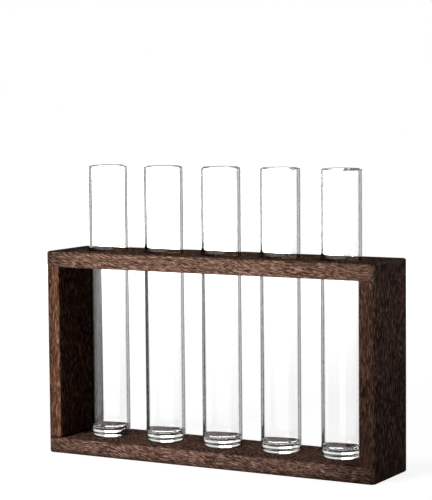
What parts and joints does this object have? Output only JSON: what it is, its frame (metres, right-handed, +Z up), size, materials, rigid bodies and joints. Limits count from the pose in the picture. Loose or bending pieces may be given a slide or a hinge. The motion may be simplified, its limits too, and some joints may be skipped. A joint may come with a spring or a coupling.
{
  "type": "propagation vase",
  "caption": "Row of clear flat-bottomed glass tubes standing in a dark stained wooden frame, to root cuttings in water on a table or a wall.",
  "frame": {"origin": "middle of the underside of the bottom rail, not counting the hangers behind it", "axes": "+X to the right along the row of tubes, +Y to the back, towards the wall, +Z up along the tubes"},
  "size_m": [0.267, 0.0593, 0.2136],
  "materials": {
    "stained_wood": "dark brown stain, brushed open grain, matt",
    "dowel_beech": "bare beech",
    "zinc_plated_steel": "stamped, bright zinc plated",
    "tube_glass": "clear, fire polished"
  },
  "bodies": {
    "frame": {"top_rail": "stained_wood", "bottom_rail": "stained_wood", "left_post": "stained_wood", "right_post": "stained_wood", "corner_dowels": "dowel_beech", "left_hanger": "zinc_plated_steel", "right_hanger": "zinc_plated_steel", "hanger_nails": "zinc_plated_steel"},
    "first_tube": {"tube_1": "tube_glass"},
    "second_tube": {"tube_2": "tube_glass"},
    "third_tube": {"tube_3": "tube_glass"},
    "fourth_tube": {"tube_4": "tube_glass"},
    "fifth_tube": {"tube_5": "tube_glass"}
  },
  "joints": [
    {"name": "tube_1_lift", "type": "slide", "parent": "frame", "child": "first_tube", "axis": [0, 0, 1], "range_m": [0, 0.15]},
    {"name": "tube_2_lift", "type": "slide", "parent": "frame", "child": "second_tube", "axis": [0, 0, 1], "range_m": [0, 0.15]},
    {"name": "tube_3_lift", "type": "slide", "parent": "frame", "child": "third_tube", "axis": [0, 0, 1], "range_m": [0, 0.15]},
    {"name": "tube_4_lift", "type": "slide", "parent": "frame", "child": "fourth_tube", "axis": [0, 0, 1], "range_m": [0, 0.15]},
    {"name": "tube_5_lift", "type": "slide", "parent": "frame", "child": "fifth_tube", "axis": [0, 0, 1], "range_m": [0, 0.15]}
  ]
}
